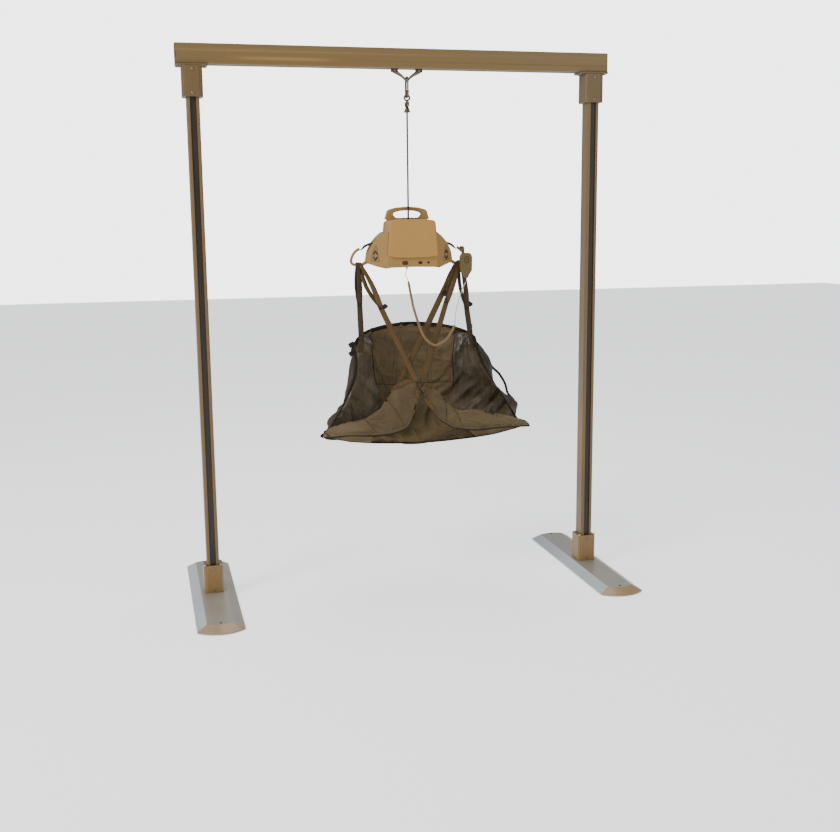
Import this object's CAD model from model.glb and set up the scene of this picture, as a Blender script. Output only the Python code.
"""Overhead patient lift: a track on two posts, a lift unit on a strap, and a fabric sling.

Metres, +Z up, floor at z = 0. The track runs along X, -X is left, and the camera stands on
the -Y side, which is called the front.
"""
import math
from functools import cached_property

import bmesh
import bpy
import numpy as np
from mathutils import Matrix, Vector, noise


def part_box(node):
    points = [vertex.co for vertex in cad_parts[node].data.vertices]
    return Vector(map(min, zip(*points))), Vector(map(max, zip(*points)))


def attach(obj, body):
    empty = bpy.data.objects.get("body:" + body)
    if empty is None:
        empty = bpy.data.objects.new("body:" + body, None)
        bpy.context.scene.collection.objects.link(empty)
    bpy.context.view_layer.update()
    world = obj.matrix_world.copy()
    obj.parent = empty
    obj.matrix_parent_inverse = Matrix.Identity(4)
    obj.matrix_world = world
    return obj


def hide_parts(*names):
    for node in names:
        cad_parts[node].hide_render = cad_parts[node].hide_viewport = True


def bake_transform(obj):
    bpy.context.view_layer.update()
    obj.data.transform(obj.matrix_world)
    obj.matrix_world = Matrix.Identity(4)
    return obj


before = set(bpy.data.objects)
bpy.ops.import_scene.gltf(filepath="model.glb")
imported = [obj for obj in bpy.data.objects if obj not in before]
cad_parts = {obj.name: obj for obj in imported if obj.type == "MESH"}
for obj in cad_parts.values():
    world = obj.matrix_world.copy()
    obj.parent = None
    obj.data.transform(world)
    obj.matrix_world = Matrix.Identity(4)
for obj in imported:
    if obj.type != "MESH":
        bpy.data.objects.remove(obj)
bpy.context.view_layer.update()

LIFT_X = 0.030         # x of the lift strap, the hanger and the middle of the lift unit
HOOK_SEAT_Z = 1.407    # height of the seats in the sling hooks
HOOK_RADIUS = 0.006
SIDES = ((-1, "left"), (1, "right"))
TURN = 2 * math.pi
MATERIALS = {}


# ------------------------------------------------------------ shader builder
def srgb(*channels):
    """Linear RGBA from sRGB channels of 0 to 255."""
    def linear(c):
        c = c / 255.0
        return c / 12.92 if c <= 0.04045 else ((c + 0.055) / 1.055) ** 2.4
    return (*map(linear, channels), 1.0)


def shade(colour, factor):
    """The colour made darker or lighter by a factor."""
    return (*(min(c * factor, 1) for c in colour[:3]), 1.0)


class Shader:
    """Builds one node material and lists it in MATERIALS."""

    SOCKETS = {
        "color": "Base Color", "rough": "Roughness", "metal": "Metallic", "normal": "Normal",
        "coat": "Coat Weight", "coat_rough": "Coat Roughness", "coat_tint": "Coat Tint",
        "sheen": "Sheen Weight", "sheen_rough": "Sheen Roughness", "sheen_tint": "Sheen Tint",
        "spec": "Specular IOR Level", "glow_color": "Emission Color",
        "glow": "Emission Strength"}

    def __init__(self, name):
        material = bpy.data.materials.new(name)
        material.use_nodes = True
        self.tree = material.node_tree
        self.principled = self.tree.nodes["Principled BSDF"]
        MATERIALS[name] = material

    def put(self, socket, value):
        """Link a socket to another, or set its value."""
        if hasattr(value, "links"):
            self.tree.links.new(value, socket)
        else:
            socket.default_value = value

    def node(self, kind, inputs=(), **settings):
        node = self.tree.nodes.new(kind)
        for key, value in settings.items():
            setattr(node, key, value)
        for key, value in dict(inputs).items():
            self.put(node.inputs[key], value)
        return node

    def set(self, **values):
        for key, value in values.items():
            self.put(self.principled.inputs[self.SOCKETS[key]], value)

    @cached_property
    def coordinates(self):
        return self.node("ShaderNodeTexCoord")

    @property
    def position(self):
        return self.coordinates.outputs["Object"]

    def noise(self, scale, detail=3.0, rough=0.55, distortion=0.0, turn=(0, 0, 0)):
        """Noise in object space; a scale of three numbers stretches it along the axes."""
        vector = self.position
        if isinstance(scale, tuple):
            vector = self.node("ShaderNodeMapping", {
                "Vector": vector, "Scale": scale, "Rotation": turn}).outputs[0]
            scale = 1.0
        return self.node("ShaderNodeTexNoise", {
            "Vector": vector, "Scale": scale, "Detail": detail, "Roughness": rough,
            "Distortion": distortion}).outputs[0]

    def voronoi(self, scale):
        return self.node("ShaderNodeTexVoronoi", {
            "Vector": self.position, "Scale": scale}).outputs["Distance"]

    def math(self, operation, a, b=0.0, clamp=False):
        return self.node("ShaderNodeMath", {0: a, 1: b},
                         operation=operation, use_clamp=clamp).outputs[0]

    def plus(self, a, b):
        return self.math("ADD", a, b)

    def minus(self, a, b):
        return self.math("SUBTRACT", a, b)

    def times(self, a, b, clamp=False):
        return self.math("MULTIPLY", a, b, clamp)

    def ramp(self, value, start, end, falling=False):
        """0 to 1 between start and end, or 1 to 0 if falling."""
        node = self.node("ShaderNodeValToRGB", {0: value})
        levels = (1.0, 0.0) if falling else (0.0, 1.0)
        for stop, place, level in zip(node.color_ramp.elements, (start, end), levels):
            stop.position = place
            stop.color = (level, level, level, 1)
        return node.outputs[0]

    def remap(self, value, to, source=(0.3, 0.7)):
        """Map the source range to another; the default is the usual spread of noise."""
        return self.node("ShaderNodeMapRange",
                         dict(enumerate((value, *source, *to)))).outputs[0]

    def mix(self, factor, a, b):
        return self.node("ShaderNodeMix", {0: factor, 6: a, 7: b},
                         data_type="RGBA", blend_type="MIX").outputs[2]

    def tint(self, base, mask, amount, to):
        """Move the base colour towards another where the mask is 1."""
        return self.mix(self.times(mask, amount), base, to)

    def split(self, vector):
        return self.node("ShaderNodeSeparateXYZ", {0: vector}).outputs

    def bump(self, height, strength, distance, normal=None):
        inputs = {"Height": height, "Strength": strength, "Distance": distance}
        if normal is not None:
            inputs["Normal"] = normal
        return self.node("ShaderNodeBump", inputs).outputs[0]

    def rounded(self, radius, samples=6):
        """Normal rounded over the edges."""
        return self.node("ShaderNodeBevel", {"Radius": radius}, samples=samples).outputs[0]

    def edge(self, radius, samples=6):
        """Rounded normal, and a mask that is 1 on convex and concave edges."""
        normal = self.rounded(radius, samples)
        true_normal = self.node("ShaderNodeNewGeometry").outputs["Normal"]
        dot = self.node("ShaderNodeVectorMath", {0: normal, 1: true_normal},
                        operation="DOT_PRODUCT").outputs["Value"]
        return normal, self.times(self.minus(1.0, dot), 6.0, clamp=True)

    def worn(self, edge, scale):
        """Broken-up part of the edge mask."""
        return self.times(edge, self.ramp(self.noise(scale, detail=5.0), start=0.42, end=0.60))


# ----------------------------------------------------------------- materials
def paint(name, colour, rough, peel, streaks=0.0, wear=0.35, coat=0.15):
    """Satin powder coat: orange peel, faint cloudiness, rubbed edges and handling marks."""
    m = Shader(name)
    normal, edge = m.edge(radius=0.0014)
    cloud = m.noise(scale=5.0, detail=4.0)
    fine = m.noise(scale=70.0)
    c = m.tint(shade(colour, 0.86), cloud, amount=0.55, to=shade(colour, 1.12))
    c = m.tint(c, m.ramp(fine, start=0.45, end=0.72), amount=0.25, to=shade(colour, 0.78))
    roughness = m.remap(cloud, to=(rough - 0.06, rough + 0.08))
    if streaks:
        streak = m.noise(scale=(60, 60, 0.8))
        c = m.tint(c, m.ramp(streak, start=0.42, end=0.66), streaks, to=shade(colour, 1.25))
        roughness = m.plus(roughness, m.remap(streak, to=(-0.07, 0.07)))
    c = m.tint(c, m.worn(edge, scale=38.0), wear, to=shade(colour, 1.7))
    scratches = m.noise(scale=(30, 30, 400), detail=2.0, turn=(0.4, 0.2, 0.7))
    scratches = m.ramp(scratches, start=0.68, end=0.72)
    roughness = m.plus(roughness, m.times(scratches, 0.12))
    grain = m.noise(scale=900.0, detail=2.0)
    m.set(color=c, rough=roughness, coat=coat, coat_rough=0.35,
          normal=m.bump(grain, strength=peel, distance=0.00022, normal=normal))


def plastic(name, colour, rough, grain, scale=1500.0, variation=0.08, coat=0.0):
    """Moulded plastic with a fine spark-eroded grain."""
    m = Shader(name)
    normal, edge = m.edge(radius=0.0012)
    cloud = m.noise(scale=9.0)
    c = m.mix(cloud, shade(colour, 1 - variation), shade(colour, 1 + variation))
    specks = m.noise(scale=scale, detail=2.0, rough=0.7)
    pits = m.voronoi(scale=scale * 0.55)
    height = m.plus(m.times(specks, 0.6), m.times(pits, 0.5))
    c = m.tint(c, pits, amount=0.16, to=shade(colour, 0.72))
    smudge = m.ramp(m.noise(scale=26.0, detail=5.0, rough=0.65), start=0.50, end=0.75)
    c = m.tint(c, smudge, amount=0.10, to=shade(colour, 0.70))
    c = m.tint(c, edge, amount=0.22, to=shade(colour, 1.5))
    roughness = m.plus(m.remap(cloud, to=(rough - 0.04, rough + 0.05)), m.times(smudge, -0.07))
    m.set(color=c, rough=roughness, coat=coat, coat_rough=0.3,
          normal=m.bump(height, strength=grain, distance=0.00016, normal=normal))


def outlined(name, colour, line, rim_radius):
    """Moulded key plate: tan face, its rim printed dark."""
    m = Shader(name)
    rim = m.edge(rim_radius, samples=8)[1]
    cloud = m.noise(scale=40.0)
    grain = m.noise(scale=1500.0, detail=2.0, rough=0.7)
    c = m.mix(cloud, shade(colour, 0.9), shade(colour, 1.1))
    c = m.tint(c, m.ramp(rim, start=0.05, end=0.22), amount=0.9, to=line)
    m.set(color=c, rough=m.remap(grain, to=(0.42, 0.54)),
          normal=m.bump(grain, strength=0.4, distance=0.00016,
                        normal=m.rounded(radius=0.0010)))


def steel(name, colour, rough, metal=1.0, grain=0.3):
    """Zinc plated or machined metal."""
    m = Shader(name)
    cloud = m.noise(scale=45.0, detail=5.0)
    c = m.mix(cloud, shade(colour, 0.72), shade(colour, 1.15))
    spots = m.ramp(m.voronoi(scale=260.0), start=0.05, end=0.16, falling=True)
    c = m.tint(c, spots, amount=0.35, to=shade(colour, 0.4))
    m.set(color=c, metal=metal, rough=m.remap(cloud, to=(rough - 0.08, rough + 0.12)),
          normal=m.bump(m.noise(scale=420.0), strength=grain, distance=0.0001,
                        normal=m.rounded(radius=0.0006, samples=4)))


def rubber(name, colour, rough):
    m = Shader(name)
    cloud = m.noise(scale=60.0, detail=4.0)
    grain = m.noise(scale=1300.0, detail=2.0)
    m.set(color=m.mix(cloud, shade(colour, 0.75), shade(colour, 1.25)),
          rough=m.remap(cloud, to=(rough - 0.08, rough + 0.08)),
          normal=m.bump(grain, strength=0.35, distance=0.0002), sheen=0.15)


def groove(name, colour):
    """Dark channel strip with lengthwise draw lines, dust and a faint warm tone."""
    m = Shader(name)
    lines = m.noise(scale=(900, 900, 1.2))
    dust = m.noise(scale=(40, 40, 3), detail=4.0)
    c = m.mix(lines, shade(colour, 0.55), shade(colour, 1.35))
    c = m.tint(c, m.ramp(dust, start=0.5, end=0.75), amount=0.5, to=srgb(60, 38, 22))
    m.set(color=c, rough=m.remap(dust, to=(0.30, 0.55)),
          normal=m.bump(lines, strength=0.4, distance=0.0003))


def webbing(name, colour, dark, pitch=0.0024, sheen=0.35, gloss=0.55, stripe=0.0):
    """Woven polyester webbing. Its UV is in metres: x from the centre line, y along."""
    rib, yarn, slant = 0.0064, 0.0016, 0.0012    # spacing across, fine spacing, rib offset
    m = Shader(name)
    across, along = m.split(m.coordinates.outputs["UV"])[:2]
    ribs = m.math("ABSOLUTE", m.math("SINE", m.times(across, TURN / rib)))
    weft = m.math("SINE", m.times(m.plus(along, m.times(ribs, slant)), TURN / pitch))
    warp = m.math("SINE", m.times(across, TURN / yarn))
    weave = m.remap(m.plus(m.times(weft, 0.6), m.times(warp, 0.4)),
                    source=(-1.0, 1.0), to=(0.0, 1.0))
    cloud = m.noise(scale=22.0, detail=4.0)
    fuzz = m.noise(scale=1500.0, detail=2.0)
    c = m.mix(weave, dark, colour)
    c = m.tint(c, m.ramp(cloud, start=0.40, end=0.70), amount=0.45, to=shade(dark, 0.9))
    c = m.tint(c, fuzz, amount=0.15, to=shade(colour, 1.6))
    off_centre = m.math("ABSOLUTE", across)
    selvedge = m.remap(off_centre, source=(0.0090, 0.0125), to=(0.0, 1.0))
    c = m.tint(c, m.ramp(selvedge, start=0.35, end=0.75), amount=0.30, to=shade(dark, 0.8))
    if stripe:
        from_stripe = m.math("ABSOLUTE", m.minus(off_centre, 0.0055))
        line = m.remap(from_stripe, source=(0.0, 0.0016), to=(1.0, 0.0))
        c = m.tint(c, m.ramp(line, start=0.3, end=0.6), stripe, to=shade(colour, 1.5))
    m.set(color=c, rough=m.remap(cloud, to=(gloss - 0.05, gloss + 0.15)),
          normal=m.bump(m.plus(weave, m.times(fuzz, 0.25)), strength=0.75, distance=0.0005),
          sheen=sheen, sheen_rough=0.45, sheen_tint=shade(colour, 2.2), spec=0.3)


def cloth(name, colour, dark, cell=0.0026, gloss=0.7, sheen=0.4, crumple=0.5, net=0.8,
          grain=0.5, pleat=0.0, spec=0.25, coat=0.0, coat_tint=None, shine=(), glow=None):
    """Knitted or coated sling fabric, with its UV in metres.

    shine lists glossy spots as (x, y, z, radius, amount); glow is (x where it is full, x where
    it ends, strength) of the light let through.
    """
    m = Shader(name)
    u, v = m.split(m.coordinates.outputs["UV"])[:2]
    rising = m.math("SINE", m.times(m.plus(u, v), TURN / cell))
    falling = m.math("SINE", m.times(m.minus(u, v), TURN / cell))
    knit = m.remap(m.times(rising, falling), source=(-1.0, 1.0), to=(0.0, 1.0))
    creases = m.noise(scale=16.0, detail=6.0, rough=0.62, distortion=0.4)
    cloud = m.noise(scale=5.0)
    fibre = m.noise(scale=1400.0, detail=2.0)
    c = m.tint(dark, knit, grain, to=colour)
    c = m.mix(m.ramp(creases, start=0.36, end=0.64), shade(dark, 0.9), c)
    c = m.tint(c, m.ramp(cloud, start=0.42, end=0.66), amount=0.30, to=shade(colour, 1.35))
    c = m.tint(c, fibre, amount=0.12, to=shade(colour, 1.8))
    normal = m.bump(creases, strength=crumple, distance=0.004)
    if pleat:
        pleats = m.noise(scale=(52, 52, 7), detail=4.0, rough=0.6, distortion=0.5)
        fine = m.noise(scale=(150, 150, 34), rough=0.6, distortion=0.9)
        valleys = m.ramp(pleats, start=0.40, end=0.50, falling=True)
        c = m.tint(c, valleys, amount=0.45 * pleat, to=shade(dark, 0.55))
        crests = m.ramp(pleats, start=0.55, end=0.68)
        c = m.tint(c, crests, amount=0.40 * pleat, to=shade(colour, 1.45))
        normal = m.bump(m.plus(pleats, m.times(fine, 0.25)), strength=pleat, distance=0.007,
                        normal=normal)
    for x, y, z, radius, amount in shine:
        distance = m.node("ShaderNodeVectorMath", {0: m.position, 1: (x, y, z)},
                          operation="DISTANCE").outputs["Value"]
        near = m.remap(distance, source=(radius * 0.35, radius), to=(1.0, 0.0))
        streak = m.noise(scale=(46, 46, 15), rough=0.6, distortion=0.8)
        halo = m.times(near, m.ramp(streak, start=0.42, end=0.60))
        core = m.times(near, m.ramp(streak, start=0.525, end=0.63))
        c = m.tint(c, halo, amount=0.45 * amount, to=srgb(118, 128, 134))
        c = m.tint(c, core, amount=0.85 * amount, to=srgb(214, 224, 228))
    m.set(color=c, rough=m.remap(creases, source=(0.35, 0.65), to=(gloss - 0.10, gloss + 0.12)),
          normal=m.bump(m.plus(knit, m.times(fibre, 0.3)), strength=net, distance=0.0005,
                        normal=normal),
          sheen=sheen, sheen_rough=0.5, sheen_tint=shade(colour, 2.5),
          coat=coat, coat_rough=0.36, spec=spec)
    if coat_tint:
        m.set(coat_tint=coat_tint)
    if glow:
        full_x, end_x, strength = glow
        sideways = m.remap(m.split(m.position)[0], source=(full_x, end_x), to=(strength, 0.0))
        upwards = m.remap(m.split(m.position)[2], source=(0.70, 0.84), to=(0.3, 1.0))
        m.set(glow_color=c, glow=m.times(sideways, upwards))


def roll_webbing():
    """Edges of the webbing wound on the drum."""
    m = Shader("roll_webbing")
    layers = m.node("ShaderNodeTexWave", {
        "Vector": m.position, "Scale": 260.0, "Distortion": 0.4, "Detail": 2.0},
        wave_type="BANDS", bands_direction="Y", wave_profile="SIN").outputs["Fac"]
    m.set(color=m.mix(layers, srgb(40, 32, 22), srgb(84, 68, 46)), rough=0.7, sheen=0.3,
          normal=m.bump(layers, strength=0.6, distance=0.0006))


def track_paint():
    """Drawn aluminium under satin paint: draw lines and one long polished streak."""
    colour = srgb(124, 98, 52)
    streak_z, streak_half = 2.2345, 0.0065       # main streak: height and half width
    streak_x, streak_reach = -0.475, 0.19        # its middle and half length
    upper_z, upper_half = 2.264, 0.005           # fainter streak above it
    m = Shader("track_paint")
    normal, edge = m.edge(radius=0.0016)
    x, _, z = m.split(m.position)

    def falloff(power):
        return m.math("POWER", 2.718, m.times(power, -1.0))

    def band(middle, half):
        offset = m.math("DIVIDE", m.minus(z, middle), half)
        return falloff(m.times(offset, offset))

    lines = m.noise(scale=(0.7, 70, 70), detail=4.0)
    cloud = m.noise(scale=(1.2, 6, 6))
    c = m.mix(lines, shade(colour, 0.86), shade(colour, 1.16))
    c = m.tint(shade(colour, 0.84), cloud, amount=0.6, to=c)
    along = m.math("DIVIDE", m.plus(x, -streak_x), streak_reach)
    length = falloff(m.math("POWER", m.math("ABSOLUTE", along), 4.0))
    main = m.times(band(streak_z, streak_half), length)
    upper = m.times(m.times(band(upper_z, upper_half), 0.30), m.ramp(lines, start=0.4, end=0.6))
    streak = m.times(m.plus(main, upper), 0.75, clamp=True)
    c = m.mix(streak, c, shade(colour, 1.75))
    left_end = m.remap(x, source=(-0.95, -0.70), to=(0.35, 0.0))
    c = m.mix(left_end, c, srgb(104, 92, 62))
    c = m.tint(c, m.worn(edge, scale=34.0), amount=0.35, to=shade(colour, 1.7))
    grain = m.times(m.noise(scale=850.0, detail=2.0), 0.3)
    m.set(color=c, coat=0.2, coat_rough=0.35,
          rough=m.minus(m.remap(lines, to=(0.34, 0.50)), m.times(streak, 0.10)),
          normal=m.bump(m.plus(lines, grain), strength=0.22, distance=0.0003, normal=normal))


def foot_paint():
    """Grey-beige powder coat on the floor plates, tinted by the way each face points."""
    colour = srgb(150, 144, 130)
    m = Shader("foot_paint")
    normal, edge = m.edge(radius=0.003)
    facing = m.split(m.node("ShaderNodeNewGeometry").outputs["Normal"])
    cloud = m.noise(scale=7.0, detail=4.0)
    dust = m.noise(scale=(9, 3, 9), detail=5.0)
    c = m.mix(cloud, shade(colour, 0.86), shade(colour, 1.12))
    # axis of the normal, range over which the tint comes in, amount, colour
    for axis, source, amount, tone in ((0, (-0.05, -0.16), 0.75, srgb(196, 206, 210)),
                                       (0, (0.05, 0.16), 0.65, srgb(128, 112, 88)),
                                       (1, (-0.08, -0.22), 0.85, srgb(158, 124, 80))):
        c = m.tint(c, m.remap(facing[axis], source=source, to=(0.0, 1.0)), amount, to=tone)
    c = m.tint(c, m.ramp(dust, start=0.5, end=0.75), amount=0.18, to=shade(colour, 1.35))
    scratches = m.noise(scale=(220, 14, 60), detail=2.0, turn=(0, 0, 0.5))
    c = m.tint(c, m.ramp(scratches, start=0.70, end=0.73), amount=0.25, to=shade(colour, 0.7))
    c = m.tint(c, edge, amount=0.25, to=shade(colour, 1.5))
    m.set(color=c, rough=m.remap(cloud, to=(0.26, 0.42)), coat=0.5, coat_rough=0.22,
          normal=m.bump(m.noise(scale=800.0, detail=2.0), strength=0.3, distance=0.00025,
                        normal=normal))


paint("frame_paint", srgb(114, 90, 50), rough=0.40, peel=0.25, streaks=0.10, coat=0.2)
paint("head_bracket_paint", srgb(104, 82, 44), rough=0.42, peel=0.25, coat=0.2)
paint("base_bracket_paint", srgb(140, 110, 62), rough=0.40, peel=0.25, coat=0.25)
paint("hanger_paint", srgb(120, 104, 76), rough=0.42, peel=0.2, wear=0.3)
paint("motor_paint", srgb(64, 64, 66), rough=0.4, peel=0.2)
track_paint()
foot_paint()
groove("groove_dark", srgb(38, 28, 18))
rubber("pad_rubber", srgb(40, 38, 36), rough=0.62)
steel("zinc_plated", srgb(176, 172, 160), rough=0.34)
steel("snap_steel", srgb(112, 102, 86), rough=0.42, metal=0.85)
steel("screw_plated", srgb(150, 134, 108), rough=0.36)
steel("ferrule_steel", srgb(96, 88, 74), rough=0.42, metal=0.85)
steel("gear_steel", srgb(160, 160, 158), rough=0.28)
steel("carriage_cast", srgb(86, 82, 76), rough=0.5, metal=0.7, grain=0.5)
steel("bearing_bronze", srgb(186, 140, 84), rough=0.34)
plastic("wheel_nylon", srgb(52, 50, 48), rough=0.42, grain=0.25)
plastic("case_plastic", srgb(158, 122, 64), rough=0.47, grain=0.5)
plastic("cover_plastic", srgb(178, 134, 64), rough=0.47, grain=0.55)
plastic("hook_plastic", srgb(140, 110, 68), rough=0.40, grain=0.35, variation=0.12, coat=0.1)
plastic("dark_plastic", srgb(44, 38, 32), rough=0.45, grain=0.35)
outlined("panel_plastic", srgb(140, 110, 66), line=srgb(50, 38, 24), rim_radius=0.0034)
plastic("key_plastic", srgb(44, 34, 22), rough=0.5, grain=0.3)
plastic("battery_wrap", srgb(52, 66, 88), rough=0.35, grain=0.15)
plastic("board_green", srgb(34, 88, 56), rough=0.4, grain=0.2, scale=400.0)
plastic("light_lens", srgb(176, 148, 110), rough=0.2, grain=0.1, coat=0.6)
plastic("red_plastic", srgb(78, 22, 0), rough=0.5, grain=0.2)
plastic("handset_plastic", srgb(102, 80, 38), rough=0.50, grain=0.5)
plastic("handset_dark", srgb(88, 68, 36), rough=0.5, grain=0.4)
plastic("cord_jacket", srgb(136, 110, 74), rough=0.42, grain=0.2, scale=700.0, coat=0.15)
plastic("lead_jacket", srgb(206, 196, 180), rough=0.42, grain=0.2, scale=700.0, coat=0.1)
webbing("lift_webbing", srgb(70, 58, 40), srgb(38, 31, 22), sheen=0.15)
webbing("sling_webbing", srgb(100, 77, 40), srgb(64, 48, 24), sheen=0.12, stripe=0.25)
webbing("sling_webbing_dark", srgb(74, 57, 34), srgb(40, 31, 18), sheen=0.12, stripe=0.2)
webbing("tag_webbing", srgb(34, 31, 28), srgb(16, 15, 14))
webbing("binding_tape", srgb(47, 36, 25), srgb(26, 20, 14), pitch=0.0018, sheen=0.06, gloss=0.8)
webbing("seam_tape", srgb(68, 56, 39), srgb(42, 35, 25), pitch=0.0018, sheen=0.15, gloss=0.6)
webbing("stitch_thread", srgb(44, 36, 26), srgb(26, 21, 15), pitch=0.0010, sheen=0.2, gloss=0.5)
roll_webbing()
cloth("sling_fabric", srgb(132, 114, 84), srgb(92, 79, 57), crumple=0.8)
cloth("sling_net_fabric", srgb(112, 110, 98), srgb(66, 66, 60), cell=0.0030, gloss=0.50,
      sheen=0.15, coat=0.25, coat_tint=(0.80, 0.90, 1.0, 1), crumple=0.7, net=0.5,
      pleat=0.8, spec=0.4)
SIDE_SHINE = (    # x, y, z, radius, amount
    (0.270, 0.050, 1.045, 0.075, 1.15), (0.262, 0.070, 1.000, 0.070, 1.25),
    (-0.155, 0.050, 1.065, 0.075, 0.7), (-0.215, -0.010, 0.880, 0.150, 0.34),
    (-0.290, -0.050, 0.770, 0.110, 0.42), (0.350, -0.020, 0.880, 0.110, 0.55))
cloth("sling_side_fabric", srgb(120, 106, 83), srgb(78, 69, 53), cell=0.0022, gloss=0.50,
      sheen=0.15, coat=0.22, coat_tint=(0.85, 0.92, 1.0, 1), crumple=0.9, net=0.35,
      grain=0.35, shine=SIDE_SHINE, pleat=0.75, spec=0.4, glow=(-0.26, -0.02, 0.36))
cloth("flap_fabric", srgb(108, 92, 64), srgb(78, 66, 46), cell=0.0024, gloss=0.75, sheen=0.5,
      crumple=0.45)
cloth("sling_outer_fabric", srgb(78, 68, 50), srgb(46, 40, 29), cell=0.0022, gloss=0.62,
      sheen=0.1, coat=0.08, coat_tint=(0.85, 0.92, 1.0, 1), crumple=0.8, net=0.35,
      grain=0.35, pleat=0.75)

CAD_MATERIALS = {    # material: the CAD pieces that wear it
    "foot_paint": "feet",
    "pad_rubber": "foot_pads track_end_stops handset_strain_relief",
    "frame_paint": "posts",
    "base_bracket_paint": "base_brackets",
    "head_bracket_paint": "head_brackets beam_saddles track_end_caps",
    "track_paint": "track_beam",
    "groove_dark": "groove_strips",
    "screw_plated": "frame_screws case_screws",
    "carriage_cast": "trolley_carriage",
    "gear_steel": "trolley_axles drum_gear motor_pinion spreader_bar",
    "wheel_nylon": "trolley_wheels_a trolley_wheels_b",
    "zinc_plated": "hanger_pins strap_pin",
    "snap_steel": "v_hanger carabiner_body carabiner_gate strap_eye",
    "case_plastic": "rear_shell front_skirt carry_handle",
    "cover_plastic": "front_cover",
    "hook_plastic": "sling_hooks",
    "dark_plastic": "strap_slot_bush latch_mounts strap_guide sockets latch_left latch_right"
                    " strap_drum",
    "bearing_bronze": "drum_bearings",
    "motor_paint": "lift_motor",
    "battery_wrap": "battery_pack",
    "board_green": "control_board",
    "panel_plastic": "key_panels",
    "key_plastic": "up_key_left down_key_left up_key_right down_key_right",
    "light_lens": "status_lights",
    "red_plastic": "stop_button",
    "handset_plastic": "handset_front handset_back",
    "handset_dark": "handset_rocker",
    "roll_webbing": "webbing_roll",
}
for material_name, pieces in CAD_MATERIALS.items():
    for piece in pieces.split():
        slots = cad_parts[piece].data.materials
        slots.clear()
        slots.append(MATERIALS[material_name])


# -------------------------------------------------------- curves and vectors
def unit(vector):
    vector = np.array(vector, float)
    return vector / np.linalg.norm(vector)


def unit_rows(vectors):
    """Vectors along the last axis made unit length."""
    return vectors / np.maximum(np.linalg.norm(vectors, axis=-1, keepdims=True), 1e-9)


def remove_part(vectors, directions):
    """Unit vectors with their part along the directions taken out."""
    return unit_rows(vectors - (vectors * directions).sum(1, keepdims=True) * directions)


def tangents(path):
    return unit_rows(np.gradient(path, axis=0))


def path_length(path):
    """Distance along the path at each of its points."""
    return np.concatenate([[0], np.cumsum(np.linalg.norm(np.diff(path, axis=0), axis=1))])


def sample(place, places, points):
    """Points interpolated at one place or several."""
    return np.stack([np.interp(place, places, points[:, k])
                     for k in range(points.shape[1])], -1)


def spread(values, count):
    """One value or several, spread evenly over count places."""
    values = np.atleast_1d(values).astype(float)
    return np.interp(np.linspace(0, 1, count), np.linspace(0, 1, len(values)), values)


def padded(points):
    """Points with one more at each end, for a Catmull-Rom curve."""
    points = np.asarray(points, float)
    return np.concatenate([[2 * points[0] - points[1]], points, [2 * points[-1] - points[-2]]])


def blend_four(a, b, c, d, t):
    """Catmull-Rom point between b and c."""
    return 0.5 * ((2 * b) + (c - a) * t + (2 * a - 5 * b + 4 * c - d) * t * t
                  + (-a + 3 * b - 3 * c + d) * t ** 3)


def span(points, x):
    """Point at x on a uniform curve through padded points."""
    i = min(int(x), len(points) - 4)
    return blend_four(*points[i:i + 4], x - i)


def catmull(points, count):
    """count points along a curve through points, evenly spaced by length."""
    points = padded(points)
    curve = [blend_four(*points[i:i + 4], t) for i in range(len(points) - 3)
             for t in np.linspace(0, 1, 24, endpoint=False)]
    curve = np.array(curve + [points[-2]])
    length = path_length(curve)
    return sample(np.linspace(0, length[-1], count), length, curve)


def carried_axes(directions, start):
    """Two axes square to each direction, carried along without twist."""
    axis = np.array(start, float)
    for direction in directions:
        axis = unit(axis - (axis @ direction) * direction)
        yield axis, np.cross(direction, axis)


# -------------------------------------------------------------- fabric grids
def surface(rows, columns, lines):
    """Grid [lines][columns][3] on a smooth surface through the rows of points."""
    rows = np.asarray(rows, float)
    padded_rows = padded(rows)
    grid = []
    for y in np.linspace(0, len(rows) - 1, lines):
        row = span(padded_rows, y)
        points = padded(row)
        grid.append([span(points, x) for x in np.linspace(0, len(row) - 1, columns)])
    return np.array(grid)


def grid_normals(grid):
    return unit_rows(np.cross(np.gradient(grid, axis=1), np.gradient(grid, axis=0)))


def grid_uv(grid):
    """UV in metres measured along the grid, u from the middle column, v from the top row."""
    across = np.linalg.norm(np.diff(grid, axis=1), axis=2)
    down = np.linalg.norm(np.diff(grid, axis=0), axis=2)
    u = np.concatenate([np.zeros((grid.shape[0], 1)), np.cumsum(across, 1)], 1)
    u -= u[:, u.shape[1] // 2][:, None]
    v = np.concatenate([np.zeros((1, grid.shape[1])), np.cumsum(down, 0)], 0)
    return np.stack([u, v], 2)


def grid_faces(lines, columns, offset=0, flip=False):
    faces = []
    for i in range(lines - 1):
        for j in range(columns - 1):
            a = offset + i * columns + j
            quad = (a, a + 1, a + columns + 1, a + columns)
            faces.append(quad[::-1] if flip else quad)
    return faces


def at(grid, column, row, spans):
    """Value of the grid at a column and row counted in its spans (bilinear)."""
    lines, columns = grid.shape[:2]
    x = min(max(column / spans[0], 0), 1) * (columns - 1)
    y = min(max(row / spans[1], 0), 1) * (lines - 1)
    j, i = min(int(x), columns - 2), min(int(y), lines - 2)
    s, t = x - j, y - i
    return ((grid[i, j] * (1 - s) + grid[i, j + 1] * s) * (1 - t)
            + (grid[i + 1, j] * (1 - s) + grid[i + 1, j + 1] * s) * t)


def grid_places(columns, lines, spans):
    """Column and row, in spans, of every grid point."""
    return np.meshgrid(np.linspace(0, spans[0], columns), np.linspace(0, spans[1], lines))


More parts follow.
